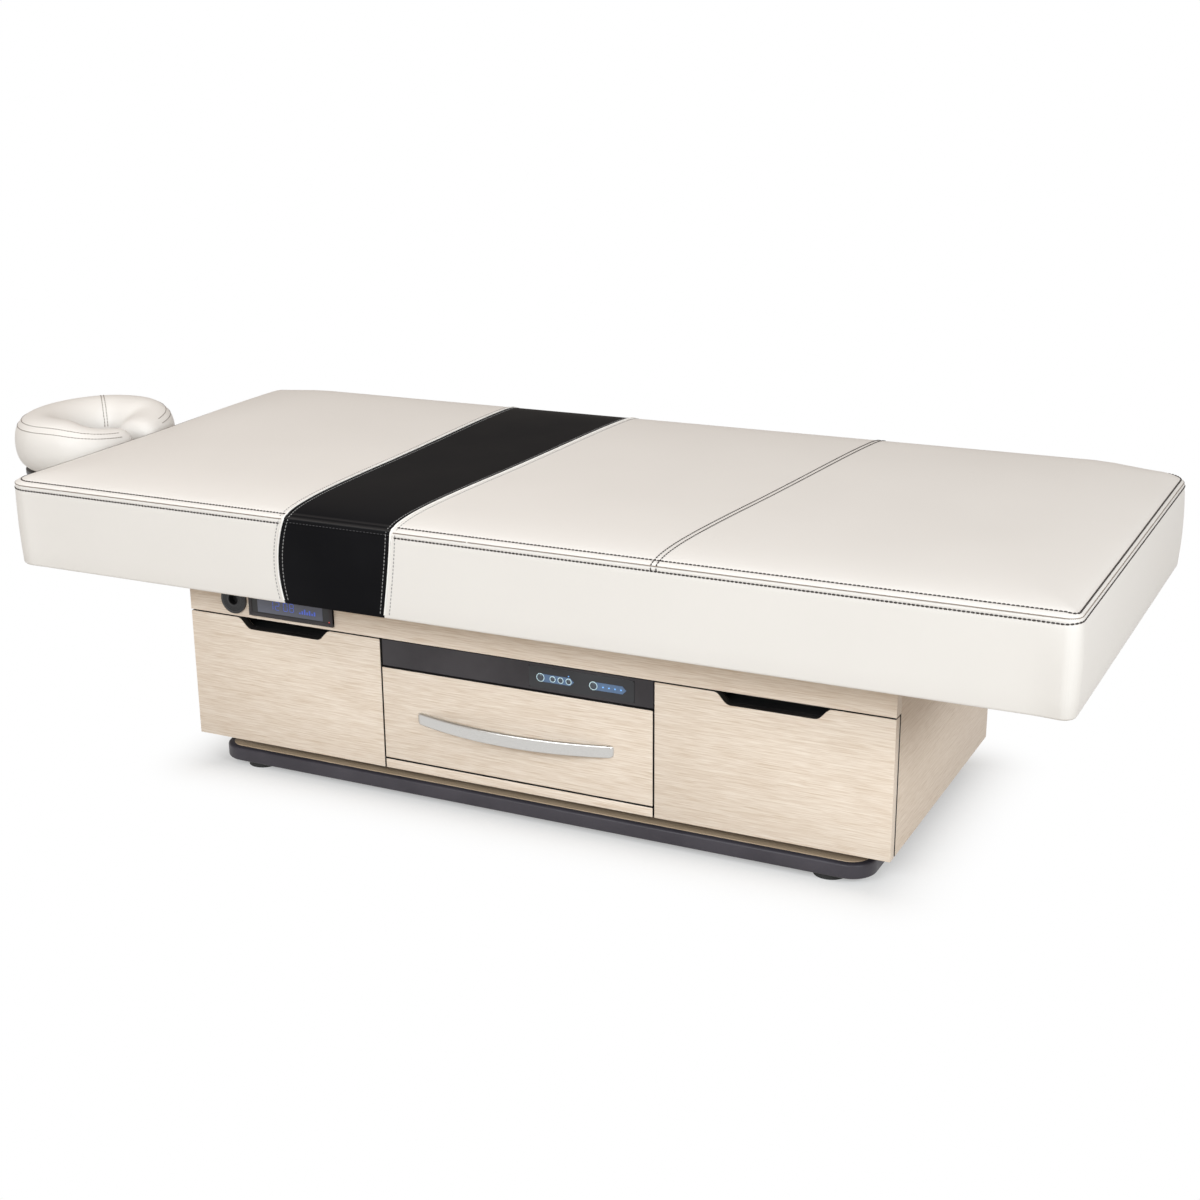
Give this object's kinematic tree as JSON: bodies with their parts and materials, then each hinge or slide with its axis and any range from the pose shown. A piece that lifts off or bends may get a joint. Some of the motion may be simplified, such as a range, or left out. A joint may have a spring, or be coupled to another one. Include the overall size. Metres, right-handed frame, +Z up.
{
  "type": "treatment table",
  "caption": "Padded treatment table on an electric lift cabinet with storage drawers, a warming drawer, a control pad and a horseshoe face rest.",
  "frame": {"origin": "on the floor under the middle of the table and its face rest", "axes": "+X along the table towards the foot end, +Y away from the drawer fronts, +Z up"},
  "size_m": [2.228, 0.87, 0.588],
  "materials": {
    "oak_laminate": "pale oak laminate with fine straight grain",
    "carcass_board": "melamine faced board",
    "charcoal_edging": "satin vinyl bumper edging",
    "black_rubber": "matt rubber",
    "dark_steel": "black powder coat",
    "zinc_steel": "zinc plated",
    "column_aluminium": "anodised extrusion",
    "black_plastic": "fine textured moulding",
    "foam": "upholstery foam",
    "ivory_vinyl": "smooth ivory upholstery vinyl",
    "black_vinyl": "smooth black upholstery vinyl",
    "screen_glass": "clear display window",
    "charcoal_panel": "satin dark panel",
    "pad_film": "printed membrane film",
    "blue_lamp": "indicator lens",
    "button_grey": "soft touch button",
    "tub_steel": "stainless warming tub",
    "brushed_nickel": "brushed nickel",
    "face_rest_metal": "black powder coat"
  },
  "bodies": {
    "base": {"plinth_board": "oak_laminate", "bumper_edge": "charcoal_edging", "glide_feet": "black_rubber", "column_base_plates": "dark_steel", "base_plate_bolts": "zinc_steel", "outer_columns": "column_aluminium", "lift_motors": "black_plastic"},
    "middle_stage": {"middle_columns": "column_aluminium"},
    "left_drawer": {"left_drawer_box": "carcass_board", "left_drawer_inner_slides": "zinc_steel", "left_drawer_front": "oak_laminate", "left_pull_liner": "black_plastic"},
    "left_drawer_runners": {"left_drawer_middle_slides": "zinc_steel"},
    "right_drawer": {"right_drawer_box": "carcass_board", "right_drawer_inner_slides": "zinc_steel", "right_drawer_front": "oak_laminate", "right_pull_liner": "black_plastic"},
    "right_drawer_runners": {"right_drawer_middle_slides": "zinc_steel"},
    "warming_drawer": {"warming_drawer_box": "tub_steel", "warming_drawer_inner_slides": "zinc_steel", "warming_drawer_front": "oak_laminate", "heating_pad": "foam", "bow_handle": "brushed_nickel"},
    "warming_drawer_runners": {"warming_drawer_middle_slides": "zinc_steel"},
    "power_button": {"power_button": "button_grey"},
    "low_heat_button": {"low_heat_button": "button_grey"},
    "medium_heat_button": {"medium_heat_button": "button_grey"},
    "high_heat_button": {"high_heat_button": "button_grey"},
    "timer_button": {"timer_button": "button_grey"},
    "face_rest_carriage": {"face_rest_frame": "face_rest_metal"},
    "face_rest": {"face_rest_platform": "black_plastic", "tilt_knuckles": "face_rest_metal", "face_cushion": "ivory_vinyl"},
    "clamp_lever": {"clamp_lever": "black_plastic"},
    "cabinet": {"left_side_panel": "oak_laminate", "right_side_panel": "oak_laminate", "fascia": "oak_laminate", "filler_strip": "oak_laminate", "deck": "carcass_board", "bottom_board": "carcass_board", "back_panel": "carcass_board", "left_partitions": "carcass_board", "right_partitions": "carcass_board", "strip_rail": "carcass_board", "inner_columns": "column_aluminium", "column_top_plates": "dark_steel", "top_frame": "dark_steel", "mattress_core": "foam", "pale_cover": "ivory_vinyl", "band_cover": "black_vinyl", "power_inlet": "black_plastic", "control_box": "black_plastic", "music_unit": "black_plastic", "unit_screen": "screen_glass", "accessory_socket": "black_plastic", "control_strip": "charcoal_panel", "control_pad": "pad_film", "timer_lamps": "blue_lamp", "cabinet_slides": "zinc_steel", "face_rest_sockets": "dark_steel"}
  },
  "joints": [
    {"name": "lift", "type": "slide", "parent": "base", "child": "cabinet", "axis": [0, 0, 1], "range_m": [0, 0.305]},
    {"name": "middle_stage_lift", "type": "slide", "parent": "base", "child": "middle_stage", "axis": [0, 0, 1], "range_m": [0, 0.1525]},
    {"name": "left_drawer_slide", "type": "slide", "parent": "cabinet", "child": "left_drawer", "axis": [0, -1, 0], "range_m": [0, 0.4]},
    {"name": "left_drawer_runner_slide", "type": "slide", "parent": "cabinet", "child": "left_drawer_runners", "axis": [0, -1, 0], "range_m": [0, 0.2]},
    {"name": "right_drawer_slide", "type": "slide", "parent": "cabinet", "child": "right_drawer", "axis": [0, -1, 0], "range_m": [0, 0.4]},
    {"name": "right_drawer_runner_slide", "type": "slide", "parent": "cabinet", "child": "right_drawer_runners", "axis": [0, -1, 0], "range_m": [0, 0.2]},
    {"name": "warming_drawer_slide", "type": "slide", "parent": "cabinet", "child": "warming_drawer", "axis": [0, -1, 0], "range_m": [0, 0.4]},
    {"name": "warming_drawer_runner_slide", "type": "slide", "parent": "cabinet", "child": "warming_drawer_runners", "axis": [0, -1, 0], "range_m": [0, 0.2]},
    {"name": "power_button_press", "type": "slide", "parent": "cabinet", "child": "power_button", "axis": [0, 1, 0], "range_m": [0, 0.001], "stiffness_N_per_m": 800},
    {"name": "low_heat_button_press", "type": "slide", "parent": "cabinet", "child": "low_heat_button", "axis": [0, 1, 0], "range_m": [0, 0.001], "stiffness_N_per_m": 800},
    {"name": "medium_heat_button_press", "type": "slide", "parent": "cabinet", "child": "medium_heat_button", "axis": [0, 1, 0], "range_m": [0, 0.001], "stiffness_N_per_m": 800},
    {"name": "high_heat_button_press", "type": "slide", "parent": "cabinet", "child": "high_heat_button", "axis": [0, 1, 0], "range_m": [0, 0.001], "stiffness_N_per_m": 800},
    {"name": "timer_button_press", "type": "slide", "parent": "cabinet", "child": "timer_button", "axis": [0, 1, 0], "range_m": [0, 0.001], "stiffness_N_per_m": 800},
    {"name": "face_rest_slide", "type": "slide", "parent": "cabinet", "child": "face_rest_carriage", "axis": [-1, 0, 0], "range_m": [0, 0.1]},
    {"name": "face_rest_tilt", "type": "hinge", "parent": "face_rest_carriage", "child": "face_rest", "pos_m": [-0.84, 0, 0.452], "axis": [0, 1, 0], "range_deg": [-25, 10]},
    {"name": "clamp_lever_turn", "type": "hinge", "parent": "face_rest_carriage", "child": "clamp_lever", "pos_m": [-0.84, 0.1193, 0.452], "axis": [0, 1, 0], "range_deg": [0, 90]}
  ],
  "couplings": [
    {"joint": "middle_stage_lift", "follows": "lift", "ratio": 0.5},
    {"joint": "left_drawer_runner_slide", "follows": "left_drawer_slide", "ratio": 0.5},
    {"joint": "right_drawer_runner_slide", "follows": "right_drawer_slide", "ratio": 0.5},
    {"joint": "warming_drawer_runner_slide", "follows": "warming_drawer_slide", "ratio": 0.5}
  ]
}
